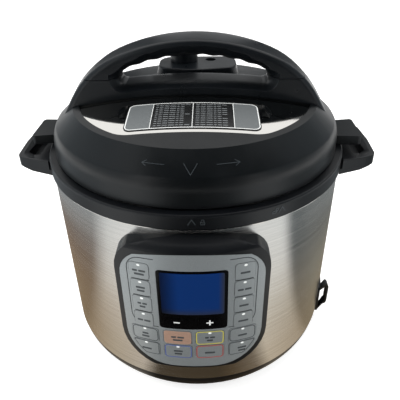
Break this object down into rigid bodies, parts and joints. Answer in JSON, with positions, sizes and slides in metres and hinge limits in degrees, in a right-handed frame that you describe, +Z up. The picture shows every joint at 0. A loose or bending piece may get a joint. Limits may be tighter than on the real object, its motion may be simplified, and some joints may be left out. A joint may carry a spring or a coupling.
{
  "type": "electric pressure cooker",
  "caption": "Round countertop electric pressure cooker with a turning lid, arched lid handle, steam valve, control panel, removable pot and side handles.",
  "frame": {"origin": "the pot's axis, on the plane that the feet stand on", "axes": "+Z up along the pot's axis, +X to the right along the side handles, -Y out of the control panel"},
  "size_m": [0.3298, 0.2986, 0.305],
  "materials": {
    "foot_rubber": "matte",
    "black_abs": "fine spark texture",
    "black_lid": "fine spark texture",
    "black_handle": "satin",
    "plated_steel": "zinc plated",
    "screw_steel": "nickel plated",
    "brushed_steel": "brushed round the body",
    "polished_steel": "polished stainless steel",
    "cast_aluminium": "as cast and turned",
    "element_steel": "heat darkened",
    "silver_film": "satin silver film",
    "display_glass": "dark blue glass",
    "display_module": "backlit module",
    "circuit_board": "solder mask",
    "lens_white": "clear lens",
    "key_silver": "satin silver film",
    "key_coloured": "satin film with a coloured outline",
    "key_black": "gloss black",
    "pin_brass": "plated",
    "clear_plastic": "clear",
    "silicone": "translucent silicone",
    "lid_plate": "printed film"
  },
  "bodies": {
    "base": {"foot_pads": "foot_rubber", "base_skirt": "black_abs", "bottom_plate": "plated_steel", "bottom_screws": "screw_steel", "steel_wrap": "brushed_steel", "collar": "black_abs", "side_handle_left": "black_abs", "side_handle_right": "black_abs", "well": "cast_aluminium", "heating_plate": "cast_aluminium", "heating_element": "element_steel", "panel_bezel": "black_abs", "panel_face": "silver_film", "display_window": "display_glass", "display_module": "display_module", "control_board": "circuit_board", "indicator_lenses": "lens_white", "power_board": "circuit_board", "inlet_bezel": "black_abs", "inlet_pins": "pin_brass", "cup_bracket": "black_abs"},
    "pot": {"cooking_pot": "polished_steel"},
    "seal": {"sealing_ring": "silicone"},
    "lid": {"lid_cover": "black_lid", "inner_lid": "polished_steel", "ring_rack": "polished_steel", "lid_plate": "lid_plate", "handle_base": "black_handle", "handle_arch": "black_handle", "handle_screws": "screw_steel", "valve_platform": "black_handle", "steam_pipe": "polished_steel", "pipe_nut": "plated_steel", "anti_block_shield": "polished_steel"},
    "steam_knob": {"steam_release_knob": "black_handle"},
    "float": {"float_valve": "polished_steel", "float_seal": "silicone"},
    "cup": {"condensation_cup": "clear_plastic"},
    "sensor": {"temperature_sensor": "polished_steel", "sensor_spring": "screw_steel"},
    "key_left_1": {"key_left_1": "key_silver"},
    "key_left_2": {"key_left_2": "key_silver"},
    "key_left_3": {"key_left_3": "key_silver"},
    "key_left_4": {"key_left_4": "key_silver"},
    "key_left_5": {"key_left_5": "key_silver"},
    "key_left_6": {"key_left_6": "key_silver"},
    "key_right_1": {"key_right_1": "key_silver"},
    "key_right_2": {"key_right_2": "key_silver"},
    "key_right_3": {"key_right_3": "key_silver"},
    "key_right_4": {"key_right_4": "key_silver"},
    "key_right_5": {"key_right_5": "key_silver"},
    "key_right_6": {"key_right_6": "key_silver"},
    "key_centre_1": {"key_centre_1": "key_coloured"},
    "key_centre_2": {"key_centre_2": "key_coloured"},
    "key_centre_3": {"key_centre_3": "key_coloured"},
    "key_centre_4": {"key_centre_4": "key_coloured"},
    "key_minus": {"key_minus": "key_black"},
    "key_plus": {"key_plus": "key_black"}
  },
  "joints": [
    {"name": "lid_lift", "type": "slide", "parent": "base", "child": "seal", "axis": [0, 0, 1], "range_m": [0, 0.26]},
    {"name": "lid_turn", "type": "hinge", "parent": "seal", "child": "lid", "pos_m": [0, 0, 0.21], "axis": [0, 0, 1], "range_deg": [0, 30]},
    {"name": "pot_lift", "type": "slide", "parent": "base", "child": "pot", "axis": [0, 0, 1], "range_m": [0, 0.17]},
    {"name": "steam_turn", "type": "hinge", "parent": "lid", "child": "steam_knob", "pos_m": [-0.012, 0.057, 0.27], "axis": [0, 0, -1], "range_deg": [0, 60]},
    {"name": "float_rise", "type": "slide", "parent": "lid", "child": "float", "axis": [0, 0, 1], "range_m": [0, 0.006]},
    {"name": "cup_slide", "type": "slide", "parent": "base", "child": "cup", "axis": [0, 1, 0], "range_m": [0, 0.03]},
    {"name": "sensor_press", "type": "slide", "parent": "base", "child": "sensor", "axis": [0, 0, -1], "range_m": [0, 0.003], "stiffness_N_per_m": 600, "deforming": ["sensor_spring"]},
    {"name": "press_left_1", "type": "slide", "parent": "base", "child": "key_left_1", "axis": [0.2717, 0.9624, 0], "range_m": [0, 0.0006], "stiffness_N_per_m": 800},
    {"name": "press_left_2", "type": "slide", "parent": "base", "child": "key_left_2", "axis": [0.2717, 0.9624, 0], "range_m": [0, 0.0006], "stiffness_N_per_m": 800},
    {"name": "press_left_3", "type": "slide", "parent": "base", "child": "key_left_3", "axis": [0.2717, 0.9624, 0], "range_m": [0, 0.0006], "stiffness_N_per_m": 800},
    {"name": "press_left_4", "type": "slide", "parent": "base", "child": "key_left_4", "axis": [0.2717, 0.9624, 0], "range_m": [0, 0.0006], "stiffness_N_per_m": 800},
    {"name": "press_left_5", "type": "slide", "parent": "base", "child": "key_left_5", "axis": [0.2717, 0.9624, 0], "range_m": [0, 0.0006], "stiffness_N_per_m": 800},
    {"name": "press_left_6", "type": "slide", "parent": "base", "child": "key_left_6", "axis": [0.2717, 0.9624, 0], "range_m": [0, 0.0006], "stiffness_N_per_m": 800},
    {"name": "press_right_1", "type": "slide", "parent": "base", "child": "key_right_1", "axis": [-0.2717, 0.9624, 0], "range_m": [0, 0.0006], "stiffness_N_per_m": 800},
    {"name": "press_right_2", "type": "slide", "parent": "base", "child": "key_right_2", "axis": [-0.2717, 0.9624, 0], "range_m": [0, 0.0006], "stiffness_N_per_m": 800},
    {"name": "press_right_3", "type": "slide", "parent": "base", "child": "key_right_3", "axis": [-0.2717, 0.9624, 0], "range_m": [0, 0.0006], "stiffness_N_per_m": 800},
    {"name": "press_right_4", "type": "slide", "parent": "base", "child": "key_right_4", "axis": [-0.2717, 0.9624, 0], "range_m": [0, 0.0006], "stiffness_N_per_m": 800},
    {"name": "press_right_5", "type": "slide", "parent": "base", "child": "key_right_5", "axis": [-0.2717, 0.9624, 0], "range_m": [0, 0.0006], "stiffness_N_per_m": 800},
    {"name": "press_right_6", "type": "slide", "parent": "base", "child": "key_right_6", "axis": [-0.2717, 0.9624, 0], "range_m": [0, 0.0006], "stiffness_N_per_m": 800},
    {"name": "press_centre_1", "type": "slide", "parent": "base", "child": "key_centre_1", "axis": [0.0898, 0.996, 0], "range_m": [0, 0.0006], "stiffness_N_per_m": 800},
    {"name": "press_centre_2", "type": "slide", "parent": "base", "child": "key_centre_2", "axis": [-0.0898, 0.996, 0], "range_m": [0, 0.0006], "stiffness_N_per_m": 800},
    {"name": "press_centre_3", "type": "slide", "parent": "base", "child": "key_centre_3", "axis": [0.0898, 0.996, 0], "range_m": [0, 0.0006], "stiffness_N_per_m": 800},
    {"name": "press_centre_4", "type": "slide", "parent": "base", "child": "key_centre_4", "axis": [-0.0898, 0.996, 0], "range_m": [0, 0.0006], "stiffness_N_per_m": 800},
    {"name": "press_minus", "type": "slide", "parent": "base", "child": "key_minus", "axis": [0.0898, 0.996, 0], "range_m": [0, 0.0006], "stiffness_N_per_m": 800},
    {"name": "press_plus", "type": "slide", "parent": "base", "child": "key_plus", "axis": [-0.0898, 0.996, 0], "range_m": [0, 0.0006], "stiffness_N_per_m": 800}
  ],
  "couplings": [
    {"joint": "pot_lift", "follows": "lid_lift", "ratio": 0.62}
  ]
}
